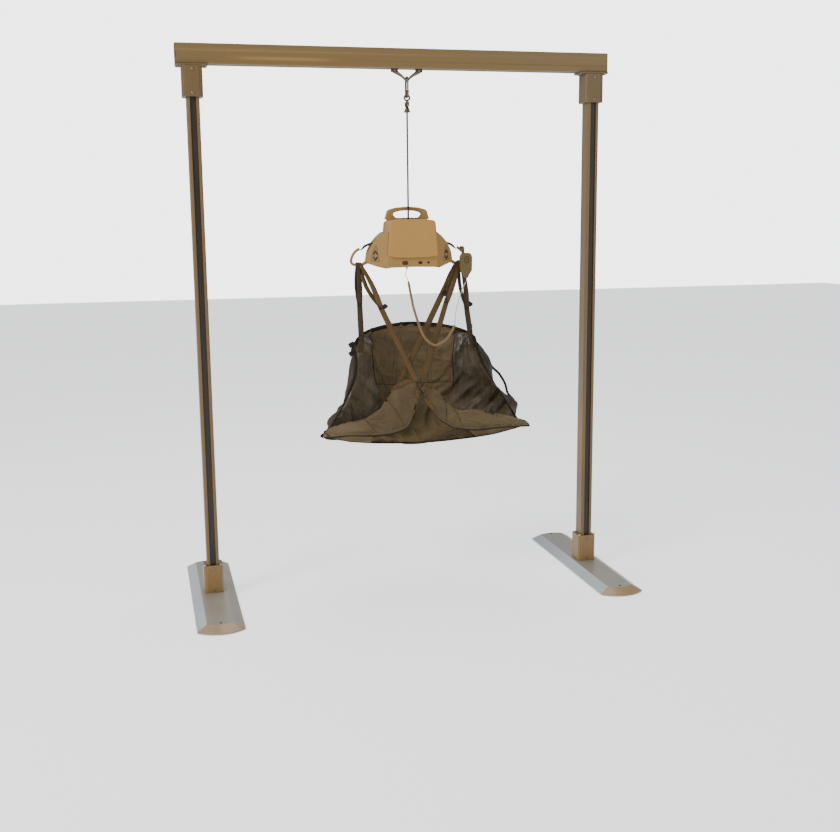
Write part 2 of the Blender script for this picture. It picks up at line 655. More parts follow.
def border(column, row, spans, wide, deep):
    """0 on the grid's border, rising to 1 at the given column and row distances."""
    return np.minimum(np.minimum(column, spans[0] - column) / wide,
                      np.minimum(row, spans[1] - row) / deep)


def bell(x, width):
    return np.exp(-(x / width) ** 2)


def smooth_noise(grid, scale, seed):
    offset = Vector((seed * 3.1, seed * 1.7, seed * 2.3))
    return np.array([[noise.noise(Vector(point) * scale + offset) for point in row]
                     for row in grid])


class Panel:
    """Fabric grid that seams are laid on; facing (1 or -1) picks the side they lie on."""

    def __init__(self, grid, spans, facing, slot):
        self.grid, self.spans, self.slot = grid, spans, slot
        self.normals = grid_normals(grid) * facing

    def point(self, column, row):
        return at(self.grid, column, row, self.spans)

    def trace(self, path, count):
        """Points and normals along a curve through (column, row) places."""
        places = catmull(path, count)
        return (np.array([self.point(*place) for place in places]),
                np.array([at(self.normals, *place, self.spans) for place in places]))


def simulate(grid, pins, frames, grow, cap, bend, tension):
    """Cloth simulation of a grid sheet; returns the moved grid.

    pins is 0..1 per point, grow the fabric's growth, cap the furthest a point may move.
    """
    mesh = bpy.data.meshes.new("sim")
    mesh.from_pydata([tuple(v) for v in grid.reshape(-1, 3)], [], grid_faces(*grid.shape[:2]))
    ob = bpy.data.objects.new("sim", mesh)
    scene = bpy.context.scene
    scene.collection.objects.link(ob)
    group = ob.vertex_groups.new(name="pin")
    flat_pins = pins.reshape(-1)
    for k in range(1, 9):
        low, high = k / 8 - 1 / 16, k / 8 + 1 / 16
        members = [int(i) for i in np.nonzero((flat_pins > low) & (flat_pins <= high))[0]]
        if members:
            group.add(members, k / 8, "REPLACE")
    modifier = ob.modifiers.new("cloth", "CLOTH")
    settings = modifier.settings
    settings.quality = 5
    settings.mass = 0.15
    settings.tension_stiffness = tension
    settings.compression_stiffness = tension
    settings.shear_stiffness = tension * 0.5
    settings.bending_stiffness = bend
    settings.air_damping = 2.0
    settings.vertex_group_mass = "pin"
    settings.pin_stiffness = 1.0
    settings.shrink_min = -grow
    settings.use_pressure = False
    settings.effector_weights.gravity = 0.0
    modifier.collision_settings.use_collision = False
    modifier.point_cache.frame_start = 1
    modifier.point_cache.frame_end = frames
    for number in range(1, frames + 1):
        scene.frame_set(number)
    evaluated = ob.evaluated_get(bpy.context.evaluated_depsgraph_get())
    result = evaluated.to_mesh()
    moved = np.empty(len(result.vertices) * 3, np.float32)
    result.vertices.foreach_get("co", moved)
    evaluated.to_mesh_clear()
    moved = moved.reshape(grid.shape).astype(float)
    bpy.data.objects.remove(ob)
    bpy.data.meshes.remove(mesh)
    scene.frame_set(1)
    move = moved - grid
    distance = np.linalg.norm(move, axis=2, keepdims=True)
    move *= np.minimum(1.0, cap / np.maximum(distance, 1e-9))
    return grid + np.nan_to_num(move)


# ------------------------------------------------------------- mesh builders
def make(name, verts, faces, materials, body, uvs=None):
    """Smooth mesh object with outward normals, riding on a body and given a slot."""
    mesh = bpy.data.meshes.new(name)
    mesh.from_pydata([tuple(v) for v in verts], [], faces)
    if uvs is not None:
        layer = mesh.uv_layers.new(name="uv")
        index = np.empty(len(mesh.loops), np.int32)
        mesh.loops.foreach_get("vertex_index", index)
        layer.data.foreach_set("uv", np.asarray(uvs, np.float32)[index].reshape(-1))
    mesh.validate()
    ob = bpy.data.objects.new(name, mesh)
    bpy.context.scene.collection.objects.link(ob)
    for material in [materials] if isinstance(materials, str) else materials:
        mesh.materials.append(MATERIALS[material])
    mesh.polygons.foreach_set("use_smooth", [True] * len(mesh.polygons))
    if body:
        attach(ob, body)
    bm = bmesh.new()
    bm.from_mesh(mesh)
    bmesh.ops.recalc_face_normals(bm, faces=bm.faces)
    bm.to_mesh(mesh)
    bm.free()
    return ob


def ring_faces(rings, size, offset=0):
    """Side quads, and the two end caps, of rings of points laid one after another."""
    sides = []
    for i in range(rings - 1):
        for j in range(size):
            a = offset + i * size + j
            b = offset + i * size + (j + 1) % size
            sides.append((a, b, b + size, a + size))
    last = offset + (rings - 1) * size
    caps = [tuple(range(offset, offset + size))[::-1], tuple(range(last, last + size))]
    return sides, caps


def band(name, path, across, normals, sections, material, body, slot, u_scale=None):
    """Closed band: a section of (across, normal) offsets at each point of the path."""
    length = path_length(path)
    if u_scale is None:
        u_scale = np.ones(len(path))
    verts, uvs = [], []
    for i, section in enumerate(sections):
        for a, b in section:
            verts.append(path[i] + across[i] * a + normals[i] * b)
            uvs.append((a * u_scale[i], length[i]))
    sides, caps = ring_faces(len(path), len(sections[0]))
    return make(name, verts, caps + sides, material, body, uvs)


def ribbon(name, points, across, width, thick, material, count,
           body="sling", slot="sling_webbing"):
    """Flat webbing with a slightly rounded section; across lists its width directions."""
    path = catmull(points, count)
    if len(across) > 1:
        across = catmull(across, count)
    else:
        across = np.repeat(np.asarray(across, float), count, 0)
    along = tangents(path)
    across = remove_part(across, along)
    widths = spread(width, count)
    t = thick / 2
    sections = []
    for w in widths / 2:
        sections.append([
            (-w, 0), (-w + t * 0.7, t), (-w * 0.33, t), (w * 0.33, t), (w - t * 0.7, t),
            (w, 0), (w - t * 0.7, -t), (w * 0.33, -t), (-w * 0.33, -t), (-w + t * 0.7, -t)])
    # narrow webbing shows the weave of a whole 25 mm strap
    u_scale = np.where(widths < 0.02, 0.0125 / (widths / 2), 1.0)
    return band(name, path, across, np.cross(along, across), sections, material, body, slot,
                u_scale)


def round_form(name, stations, ring, material, body):
    """Closed round form; stations are (centre, two cross axes, radius, UV length)."""
    angles = [TURN * j / ring for j in range(ring)]
    verts = [centre + (a * math.cos(q) + b * math.sin(q)) * radius
             for centre, (a, b), radius, _ in stations for q in angles]
    uvs = [(q * radius, length) for _, _, radius, length in stations for q in angles]
    sides, caps = ring_faces(len(stations), ring)
    return make(name, verts, sides + caps, material, body, uvs)


def tube(name, points, radii, material, body, ring, count):
    """Round tube with a radius that varies along its path."""
    path = catmull(points, count)
    along = tangents(path)
    start = (0, 1, 0) if abs(along[0][1]) < 0.8 else (1, 0, 0)
    stations = list(zip(path, carried_axes(along, start), spread(radii, count),
                        path_length(path)))
    return round_form(name, stations, ring, material, body)


def lathe(name, profile, centre, material, body):
    """Upright turned form: profile of (radius, height) above the centre."""
    up = unit((0, 0, 1))
    a = unit(np.cross(up, [0.3, 0.9, 0.2]))
    axes = (a, np.cross(up, a))
    stations = [(np.array(centre) + up * height, axes, radius, height)
                for radius, height in profile]
    return round_form(name, stations, 28, material, body)


def sheet(name, grid, thick, materials, side=1.0):
    """Closed sheet of sling fabric: the grid and a second face thick away on its back."""
    lines, columns = grid.shape[:2]
    back = grid + grid_normals(grid) * side * thick
    uv = grid_uv(grid).reshape(-1, 2)
    offset = lines * columns
    faces = grid_faces(lines, columns) + grid_faces(lines, columns, offset, True)
    rim = (list(range(columns))
           + [i * columns + columns - 1 for i in range(1, lines)]
           + [(lines - 1) * columns + j for j in range(columns - 2, -1, -1)]
           + [i * columns for i in range(lines - 2, 0, -1)])
    for a, b in zip(rim, rim[1:] + rim[:1]):
        faces.append((b, b + offset, a + offset, a))
    verts = np.concatenate([grid.reshape(-1, 3), back.reshape(-1, 3)])
    return make(name, verts, faces, materials, "sling",
                np.concatenate([uv, uv]))


GRID_EDGES = {    # edge line of a grid and the line next to it
    "top": (np.s_[0, :], np.s_[1, :]), "bottom": (np.s_[-1, :], np.s_[-2, :]),
    "left": (np.s_[:, 0], np.s_[:, 1]), "right": (np.s_[:, -1], np.s_[:, -2])}


def bind(name, grid, edge, width, proud, slot, centre=0.0):
    """Binding tape folded over one edge of a grid; centre shifts it along the normals."""
    line, neighbour = GRID_EDGES[edge]

    def smoothed(vectors):
        kernel = np.ones(11) / 11
        return unit_rows(np.stack([
            np.convolve(np.pad(vectors[:, k], 5, mode="edge"), kernel, "valid")
            for k in range(3)], 1))

    inward = smoothed(unit_rows(grid[neighbour] - grid[line]))
    normals = smoothed(grid_normals(grid)[line])
    section = [
        (width, proud * 0.75), (width * 0.55, proud), (0.001, proud),
        (-proud * 0.8, proud * 0.55), (-proud, 0), (-proud * 0.8, -proud * 0.55),
        (0.001, -proud), (width * 0.55, -proud), (width, -proud * 0.75), (width * 0.97, 0)]
    path = grid[line] + normals * centre
    return band(name, path, inward, normals, [section] * len(path), "binding_tape", "sling",
                slot)


def seam(name, panel, path, width, proud, material="seam_tape", slot=None, lift=0.0, count=90):
    """Flat tape lying on the panel along (column, row) places."""
    points, normals = panel.trace(path, count)
    normals = unit_rows(normals)
    w = width / 2
    low = lift - 0.0008    # sunk a little into the fabric
    section = [(-w, low), (-w, proud * 0.5 + lift), (-w * 0.8, proud + lift),
               (0, proud * 1.05 + lift), (w * 0.8, proud + lift), (w, proud * 0.5 + lift),
               (w, low), (0, low)]
    return band(name, points, np.cross(tangents(points), normals), normals, [section] * count,
                material, "sling", slot or panel.slot)


def stitches(name, panel, path, pitch):
    """A row of raised thread stitches along (column, row) places."""
    size = 0.0008                                             # half width of the thread
    profile = ((-1, 0.0), (-0.6, 0.9), (0.6, 0.9), (1, 0.0), (0, -0.5))
    points, normals = panel.trace(path, 300)
    length = path_length(points)
    verts, faces, uvs = [], [], []
    for s in np.arange(pitch / 2, length[-1] - pitch, pitch):
        a = sample(s, length, points)
        b = sample(s + pitch * 0.62, length, points)
        normal = unit(sample(s, length, normals))
        along = unit(b - a)
        across = np.cross(along, normal)
        sides, caps = ring_faces(4, len(profile), len(verts))
        faces += sides + caps
        for centre, scale in ((a - along * size * 0.5, 0.35), (a + along * size, 1.0),
                              (b - along * size, 1.0), (b + along * size * 0.5, 0.35)):
            for x, y in profile:
                verts.append(centre + across * x * size * scale + normal * (size * (y * scale)))
                uvs.append((x * size, s))
    return make(name, verts, faces, "stitch_thread", "sling", uvs)


# ---------------------------------------------------------------- sling body
# Stations in millimetres (x, y, z): each row runs from left to right, and the rows run from
# the top edge down the back and forward to the front edge of the seat.
SLING_ROWS = [
    [(-215, -20, 1075), (-190, 30, 1095), (-130, 92, 1118), (-40, 132, 1134), (68, 150, 1141),
     (176, 132, 1134), (262, 92, 1118), (305, 30, 1100), (318, -20, 1085)],
    [(-226, -60, 956), (-222, 10, 962), (-179, 112, 965), (-70, 188, 968), (68, 214, 970),
     (206, 188, 968), (330, 112, 965), (392, 10, 962), (352, -60, 955)],
    [(-282, -85, 822), (-262, 10, 826), (-214, 120, 828), (-90, 216, 826), (68, 246, 825),
     (226, 216, 826), (388, 120, 828), (462, 10, 826), (428, -85, 822)],
    [(-345, -92, 722), (-330, 0, 728), (-276, 98, 720), (-110, 190, 705), (68, 220, 700),
     (246, 190, 705), (430, 98, 720), (500, 0, 728), (492, -92, 724)],
    [(-378, -95, 702), (-330, -30, 692), (-230, 30, 672), (-110, 60, 660), (68, 76, 655),
     (251, 60, 660), (372, 30, 672), (470, -30, 692), (512, -95, 704)],
    [(-384, -98, 694), (-322, -94, 680), (-230, -92, 662), (-115, -90, 650), (68, -90, 643),
     (251, -90, 650), (372, -92, 662), (464, -94, 680), (522, -98, 696)],
]
SPANS = (8, 5)                 # columns and rows between the stations
COLUMNS, LINES = ((185, 141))
WAIST_ROW = 1.77               # row of the seam across the back
SEAT_ROW = 4.2                 # row where the side fabric ends
STAYS = (("a", 3.62), ("b", 4.72))    # columns of the two stays in the back
FACING_LEFT = 0.024            # width of the facing strip along the left edge
FACING_ROWS = (0.05, 0.5, 1.0, 1.5, 2.0, 2.5, 3.0, 3.5, 4.15)
FABRIC = 0.0024

base_grid = surface(np.array(SLING_ROWS) / 1000.0, COLUMNS, LINES)
base_normals = grid_normals(base_grid)
# turns the grid normals to the front face of the back panel
INWARD = -1.0 if base_normals[LINES // 3, COLUMNS // 2][1] > 0 else 1.0
column, row = grid_places(COLUMNS, LINES, SPANS)


def left_seam(at_row):
    """Column of the seam between the left side panel and the back."""
    return np.interp(at_row, [0, 1, 2, 3, 5], [2.20, 2.80, 3.22, 3.3, 3.3])


def right_seam(at_row):
    """Column of the seam between the right side panel and the back."""
    return np.interp(at_row, [0, 1, 2, 3, 5], [5.85, 5.45, 5.30, 5.2, 5.2])


def facing_width(at_row):
    """Width of the facing strip along the right edge."""
    return (0.032 + 0.034 * np.clip(at_row / 1.5, 0, 1)
            - 0.022 * np.clip((at_row - 2.5) / 1.5, 0, 1))


def sling_folds():
    """Height of the folds at every point of the base grid."""
    uv = grid_uv(base_grid)
    folds = np.zeros((LINES, COLUMNS))
    # folds that fan out below the shoulder straps: corner, spokes, phase, height, reach
    for corner, spokes, phase, height, reach in (((0.75, 0.0), 11.0, 0.6, 0.014, 0.34),
                                                 ((7.25, 0.0), 8.0, 2.1, 0.013, 0.20)):
        distance = np.linalg.norm(base_grid - at(base_grid, *corner, SPANS), axis=2)
        angle = np.arctan2(uv[:, :, 0] - at(uv, *corner, SPANS)[0], uv[:, :, 1] + 0.02)
        wave = (np.sin(angle * spokes + phase + 6 * distance)
                + 0.5 * np.sin(angle * spokes * 2.1 + phase * 3))
        folds += height * wave * np.clip(distance / 0.06, 0, 1) * np.exp(-distance / reach)
    # soft vertical folds in the side panels, shallower ones in the back
    side = (np.clip((left_seam(row) - column) / 0.6, 0, 1)
            + np.clip((column - right_seam(row)) / 0.6, 0, 1))
    upright = smooth_noise(base_grid * np.array([1, 1, 0.35]), scale=11.0, seed=1.0)
    small = smooth_noise(base_grid, scale=22.0, seed=2.0)
    level = smooth_noise(base_grid * np.array([1, 1, 1.6]), scale=7.5, seed=5.0)
    folds += side * (0.011 * upright + 0.004 * small)
    folds += (1 - np.clip(side, 0, 1)) * (0.006 * level + 0.0025 * small)
    # ripples over the lower part
    low = np.clip((row - 1.9) / 0.8, 0, 1)
    folds += (low * 0.010 * np.sin(uv[:, :, 0] * 21 + 9 * upright + uv[:, :, 1] * 14)
              * np.clip(1.0 - (row - 3.6), 0, 1))
    # slanting folds beside the hips: column, row, width, slant, height
    for middle, middle_row, width, slant, height in ((5.9, 2.35, 1.3, -1.0, 0.010),
                                                     (2.5, 2.3, 1.0, 1.0, 0.006)):
        window = bell(column - middle, width) * bell(row - middle_row, 0.62)
        slope = (0.57 * slant * base_grid[:, :, 0] + 0.8 * base_grid[:, :, 2]
                 + 0.5 * base_grid[:, :, 1])
        phase = slope * 2 * math.pi / 0.082 + 1.8 * upright
        folds += height * window * (np.sin(phase) + 0.35 * np.sin(2.3 * phase + 1.0))
    # one hollow and one bulge near the right edge
    folds += -INWARD * 0.017 * bell(row - 2.45, 0.42) * bell(column - 7.25, 0.5)
    folds += INWARD * 0.030 * bell(row - 1.5, 0.36) * bell(column - 7.1, 0.6)
    return folds


def sling_grid():
    """Front face of the sling: folded, relaxed as cloth, then creased along its seams."""
    edge = border(column, row, SPANS, wide=0.35, deep=0.22)
    folds = sling_folds() * np.clip(edge, 0, 1)
    left, right = left_seam(row), right_seam(row)
    upper = row < WAIST_ROW
    far = 9    # stands for "no line near"
    to_seam = np.minimum(np.abs(column - left), np.abs(column - right))
    to_seam = np.where(upper, to_seam, far)
    to_waist = np.where((column > left) & (column < right), np.abs(row - WAIST_ROW), far)
    to_stay = np.minimum(*(np.abs(column - stay) for _, stay in STAYS))
    to_stay = np.where(upper, to_stay, far)
    pins = np.full((LINES, COLUMNS), 0.0)
    pins[edge < 0.12] = 1.0
    pins[to_seam < 0.05] = 0.75
    pins[to_waist < 0.035] = 0.75
    pins[to_stay < 0.04] = 0.5
    grid = simulate(base_grid + base_normals * folds[:, :, None], pins, frames=22, grow=0.045,
                    cap=0.016, bend=0.55, tension=14.0)
    crease = 0.0030 * (bell(to_seam, 0.055) + bell(to_waist, 0.045) + 0.7 * bell(to_stay, 0.05))
    return grid - base_normals * INWARD * crease[:, :, None]


sling = Panel(sling_grid(), SPANS, INWARD, "sling_fabric")
steps = np.linalg.norm(np.diff(sling.grid, axis=1), axis=2)
start = np.zeros((LINES, 1))
from_left = np.concatenate([start, np.cumsum(steps, axis=1)], 1)
from_right = np.concatenate([start, np.cumsum(steps[:, ::-1], axis=1)], 1)[:, ::-1]


def column_from_left(distance, at_row):
    """Column that lies a distance in from the left edge."""
    i = min(int(round(at_row / SPANS[1] * (LINES - 1))), LINES - 1)
    return float(np.interp(distance, from_left[i], np.linspace(0, SPANS[0], COLUMNS)))


def column_from_right(distance, at_row):
    """Column that lies a distance in from the right edge."""
    i = min(int(round(at_row / SPANS[1] * (LINES - 1))), LINES - 1)
    return float(np.interp(distance, from_right[i, ::-1], np.linspace(SPANS[0], 0, COLUMNS)))


def sling_body():
    ob = sheet("sling_body_fabric", sling.grid, FABRIC,
               ["sling_fabric", "sling_side_fabric", "sling_outer_fabric", "flap_fabric",
                "sling_net_fabric"], side=-INWARD)
    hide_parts("sling_body")
    plain, panel, outer, facing, net = range(5)    # material slots, in the order above
    cell_column = ((np.arange(COLUMNS - 1) + 0.5) / (COLUMNS - 1) * SPANS[0])[None, :]
    cell_row = ((np.arange(LINES - 1) + 0.5) / (LINES - 1) * SPANS[1])[:, None]
    cell_column = cell_column.repeat(LINES - 1, 0)
    cell_row = cell_row.repeat(COLUMNS - 1, 1)
    in_side = (((cell_column < left_seam(cell_row)) | (cell_column > right_seam(cell_row)))
               & (cell_row < SEAT_ROW))
    to_right = (from_right[:-1, :-1] + from_right[1:, 1:]) / 2
    to_left = (from_left[:-1, :-1] + from_left[1:, 1:]) / 2
    strip = facing_width(cell_row)
    in_net = (to_right < strip + 0.048 * np.clip(cell_row / 0.6, 0, 1)) | (to_left < 0.055)
    in_facing = (to_right < strip) | (to_left < FACING_LEFT)
    front = np.where(in_facing, facing, np.where(in_net, net, panel))
    cells = (LINES - 1) * (COLUMNS - 1)
    index = np.full(len(ob.data.polygons), plain, np.int32)
    index[:cells] = np.where(in_side, front, plain).reshape(-1)
    index[cells:2 * cells] = np.where(
        in_side | (cell_row > SEAT_ROW), outer, plain).reshape(-1)
    ob.data.polygons.foreach_set("material_index", index)


def sling_seams():
    for edge in ("top", "left", "right", "bottom"):
        width, proud = (0.016, 0.0034) if edge == "top" else (0.011, 0.0026)
        bind("sling_binding_" + edge, sling.grid, edge, width, proud, "sling_fabric",
             centre=-INWARD * FABRIC / 2)
    for name, line in (("l", left_seam), ("r", right_seam)):
        seam("sling_seam_" + name, sling,
             [(float(line(r)), r) for r in (0.03, 0.5, 1.0, 1.5, 1.9)],
             width=0.0055, proud=0.0009)
    seam("sling_facing_r", sling,
         [(column_from_right(facing_width(r), r), r) for r in FACING_ROWS],
         width=0.0060, proud=0.0012)
    seam("sling_facing_l", sling, [(column_from_left(FACING_LEFT, r), r) for r in FACING_ROWS],
         width=0.0045, proud=0.0010)
    seam("sling_seam_waist", sling,
         [(float(left_seam(WAIST_ROW)), WAIST_ROW), (3.6, 1.80), (4.2, 1.80), (4.8, 1.79),
          (float(right_seam(WAIST_ROW)), WAIST_ROW)], width=0.0032, proud=0.0006)
    for name, stay in STAYS:
        for k, offset in enumerate((-0.05, 0.05)):
            stitches(f"sling_stay_{name}{k}", sling,
                     [(stay + offset, 0.08), (stay + offset * 1.1, 0.8),
                      (stay + offset, 1.74)], pitch=0.0050)
    for name, line, offset in (("l0", left_seam, -0.09), ("l1", left_seam, 0.09),
                               ("r0", right_seam, -0.08), ("r1", right_seam, 0.08)):
        stitches("sling_stitch_" + name, sling,
                 [(float(line(r)) + offset, r) for r in (0.1, 0.6, 1.2, 1.85)], pitch=0.0048)
    stitches("sling_hem", sling, [(0.3, 0.12), (2, 0.11), (4, 0.11), (6, 0.11), (7.7, 0.12)],
             pitch=0.0048)


sling_body()
sling_seams()

# ----------------------------------------------------------------- leg flaps
# Stations in millimetres (x, y, z): each row runs from the outer end to the tip near the
# middle, and the rows run from back to front.
FLAP_ROWS = {
    "left": [
        [(-372, -112, 714), (-304, -122, 743), (-221, -140, 762), (-165, -150, 793),
         (-125, -150, 831), (-83, -150, 886), (-37, -152, 923), (3, -158, 928)],
        [(-374, -200, 722), (-300, -222, 740), (-218, -236, 752), (-158, -246, 772),
         (-110, -246, 800), (-66, -232, 838), (-16, -196, 880), (12, -172, 915)],
        [(-376, -292, 726), (-299, -320, 734), (-216, -330, 730), (-150, -332, 734),
         (-92, -318, 742), (-48, -284, 756), (4, -216, 830), (20, -182, 902)]],
    "right": [
        [(520, -112, 716), (372, -130, 757), (278, -140, 780), (192, -150, 790),
         (162, -150, 812), (127, -150, 852), (86, -152, 897), (52, -158, 914)],
        [(502, -200, 724), (356, -222, 746), (266, -236, 758), (184, -246, 770),
         (146, -246, 790), (106, -226, 822), (68, -192, 868), (42, -172, 902)],
        [(478, -292, 728), (338, -320, 734), (250, -330, 730), (170, -328, 738),
         (124, -300, 750), (82, -262, 782), (52, -212, 836), (33, -182, 890)]],
}
FLAP_DARTS = {    # column at row 0, first row, column at the last row
    "left": [(2.15, 0.55, 2.45), (4.3, 0.0, 4.65)],
    "right": [(3.4, 0.3, 2.9), (4.7, 0.0, 4.2)]}
FLAP_SEED = {"left": 3.0, "right": 4.0}
FLAP_TOP_BINDING = {"left": (0.018, 0.0062), "right": (0.013, 0.0045)}    # width, proud
FLAP_SPANS = (7, 2)
FLAP_COLUMNS, FLAP_LINES = ((141, 57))


def dart_column(dart, at_row):
    return dart[0] + (dart[2] - dart[0]) * at_row / FLAP_SPANS[1]


def flap_faces(side, middle):
    """Upper and lower grids of a flap's pad, which meet at its edges."""
    normals = grid_normals(middle)
    if normals[FLAP_LINES // 2, FLAP_COLUMNS // 2][2] < 0:
        normals = -normals
    column, row = grid_places(FLAP_COLUMNS, FLAP_LINES, FLAP_SPANS)
    inside = np.clip(border(column, row, FLAP_SPANS, wide=0.30, deep=0.22), 0, 1)
    dome = np.sqrt(np.clip(1 - (1 - inside) ** 2, 0, 1))
    crease = np.zeros_like(column)
    for dart in FLAP_DARTS[side]:
        off_dart = np.abs(column - dart_column(dart, row)) * np.where(row > dart[1], 1, 3)
        crease = np.maximum(crease, bell(off_dart, 0.10))
    lumps = smooth_noise(middle, scale=16.0, seed=FLAP_SEED[side])
    dimples = smooth_noise(middle, scale=34.0, seed=6.0)
    height = (0.0065 * dome - 0.0055 * crease * inside + 0.0035 * lumps * inside
              + 0.0012 * dimples * inside)
    pins = np.zeros_like(column)
    pins[inside < 0.1] = 1.0
    pins[crease > 0.8] = 0.75
    top = simulate(middle + normals * height[:, :, None], pins, frames=18, grow=0.03,
                   cap=0.008, bend=1.2, tension=16.0)
    # bring the rim back to the middle surface, and keep the faces apart inside it
    ease = np.clip(inside / 0.15, 0, 1)[:, :, None]
    top = middle * (1 - ease) + top * ease + normals * (0.0006 * ease)
    bottom = middle - normals * (0.0045 * dome)[:, :, None] - normals * (0.0006 * ease)
    return top, bottom


def flap_pad(side, middle, top, bottom):
    """Closed pad whose two faces share their rim points."""
    inner = np.s_[1:-1, 1:-1]
    points = FLAP_LINES * FLAP_COLUMNS
    below = np.arange(points).reshape(FLAP_LINES, FLAP_COLUMNS)
    below[inner] = points + np.arange(below[inner].size).reshape(below[inner].shape)
    below = below.reshape(-1).tolist()
    back = [tuple(below[v] for v in quad)
            for quad in grid_faces(FLAP_LINES, FLAP_COLUMNS, flip=True)]
    uv = grid_uv(middle)
    return make("flap_pad_" + side,
                np.concatenate([top.reshape(-1, 3), bottom[inner].reshape(-1, 3)]),
                grid_faces(FLAP_LINES, FLAP_COLUMNS) + back,
                "flap_fabric", "sling",
                np.concatenate([uv.reshape(-1, 2), uv[inner].reshape(-1, 2)]))


def flap(side):
    """One leg flap; returns its pad, its middle surface and the panel of its upper face."""
    middle = surface(np.array(FLAP_ROWS[side]) / 1000.0, FLAP_COLUMNS, FLAP_LINES)
    top, bottom = flap_faces(side, middle)
    pad = flap_pad(side, middle, top, bottom)
    for edge in ("top", "bottom", "left", "right"):
        width, proud = FLAP_TOP_BINDING[side] if edge == "top" else (0.009, 0.0028)
        bind(f"flap_binding_{side}_{edge}", middle, edge, width, proud, "flap_fabric")
    centre_normal = grid_normals(top)[FLAP_LINES // 2, FLAP_COLUMNS // 2]
    panel = Panel(top, FLAP_SPANS, 1.0 if centre_normal[2] > 0 else -1.0, "flap_fabric")
    for k, dart in enumerate(FLAP_DARTS[side]):
        stitches(f"flap_dart_{side}_{k}", panel,
                 [(dart_column(dart, r), r) for r in np.linspace(max(dart[1], 0.14), 1.88, 5)],
                 pitch=0.0045)
    for name, stitch_row in (("a", 0.20), ("b", 1.82)):
        stitches(f"flap_stitch_{side}_{name}", panel,
                 [(c, stitch_row) for c in (0.2, 2, 4, 5.5, 6.85)], pitch=0.0045)
    return pad, middle, panel


def gusset(side, first_column, last_column, flap_middle):
    """Fabric between the seat's front edge and a flap's back edge."""
    count, lines = 60, 14
    shares = np.linspace(0, 1, count)
    seat = [sling.point(first_column + (last_column - first_column) * t, SPANS[1])
            for t in shares]
    edge = [at(flap_middle, 3.3 * t + 0.02, 0.02, FLAP_SPANS) for t in shares]
    grid = []
    for s in np.linspace(0, 1, lines):
        arch = math.sin(math.pi * s)
        grid.append([seat[j] * (1 - s) + edge[j] * s
                     + np.array([0, 0.020 * arch * (0.4 + j / count), -0.012 * arch])
                     for j in range(count)])
    grid = np.array(grid)
    wobble = (smooth_noise(grid, scale=14.0, seed=9.0)
              * np.sin(np.linspace(0, math.pi, lines))[:, None])
    grid = grid + grid_normals(grid) * (0.010 * wobble)[:, :, None]
    sheet("sling_gusset_" + side, grid, 0.0022, "sling_fabric")


flaps = {side: flap(side) for side in FLAP_ROWS}
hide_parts("leg_flaps")
gusset("left", 0.0, 2.6, flaps["left"][1])
gusset("right", 8.0, 5.4, flaps["right"][1])

# -------------------------------------------------------------- sling straps
SHOULDER_LEFT = (-0.183, 0.000, 1.106)     # corners where the shoulder straps are sewn on
SHOULDER_RIGHT = (0.302, 0.000, 1.108)


def hook_strap(name, hook_x, end, material, split, spread, tail, tilt=0.35, width=0.025,
               layer=0, seat_width=0.0165):
    """Webbing strap: a loop over the hook's seat whose two legs join, then one flat band.

    hook_x is from LIFT_X, split the distance from the seat to the join, spread the sideways
    opening of the loop, tail the length past the end, tilt the twist of the legs and layer
    the strap's place in the stack on the hook. Returns the band, join point and axes.
    """
    seat = np.array([LIFT_X + hook_x, 0, HOOK_SEAT_Z])
    end = np.array(end, float)
    down = unit(end - seat)
    across = unit(np.cross(down, np.array([0, 1.0, 0])))
    length = np.linalg.norm(end - seat)
    join = seat + down * split
    radius = HOOK_RADIUS + 0.0014 + 0.0022 * layer
    up = unit(-down)
    forward = unit(np.cross(across, down))
    if forward[1] > 0:
        forward = -forward
    front, back = [], []
    for t in (1.0, 0.75, 0.5, 0.28, 0.12):
        swell = math.sin(math.pi * t) if t < 1 else 0.0
        centre = seat + down * (split * t)
        gap = 0.0012 + (radius - 0.0012) * (1 - t) ** 0.8
        front.append(centre + forward * gap + across * (spread * 0.45 * swell))
        back.append(centre - forward * gap - across * (spread * swell))
    arc = [seat + forward * (radius * math.cos(q)) + up * (radius * math.sin(q))
           for q in np.linspace(0.0, math.pi, 7)]
    directions = ([across + forward * tilt * 0.4] * 4 + [across]
                  + [np.array([1.0, 0, 0])] * 7 + [across] + [across - forward * tilt] * 4)
    leg = [0.0235, 0.0235, 0.0235, 0.022, 0.019]
    ribbon(name + "_loop", front + arc + back[::-1], directions,
           leg + [seat_width] * 3 + leg[::-1], 0.0019, material, 110)
    stations = [join - down * 0.016, join + down * 0.03,
                seat + down * (split + (length - split) * 0.45),
                seat + down * (split + (length - split) * 0.8), end + down * tail]
    strap = ribbon(name + "_band", stations, [across], [width * 0.92, width, width, width],
                   0.0023, material, 60)
    # bar tacks where the legs meet
    for k in (0, 1):
        centre = join + down * (0.004 - 0.011 * k)
        ribbon(f"{name}_tack{k}",
               [centre - across * 0.0105 + forward * 0.0030, centre + forward * 0.0034,
                centre + across * 0.0105 + forward * 0.0030],
               [down], 0.0028, 0.0016, "stitch_thread", 14)
    return strap, join, down, across, forward


def tag(name, strap, shift, side, reach=0.014, width=0.020):
    """Pull tab on a strap's edge, shift below the join; side 1 puts it towards +X."""
    _, join, down, across, forward = strap
    outward = across * (side if across[0] > 0 else -side)
    root = join + down * shift + outward * 0.013
    points = [root - outward * 0.006, root + outward * reach * 0.5 + forward * 0.003,
              root + outward * reach - down * 0.004 + forward * 0.002]
    ribbon(name, points, [down * 0.9 + outward * 0.25], [width, width * 1.05, width * 0.9],
           0.0042, "tag_webbing", 18)


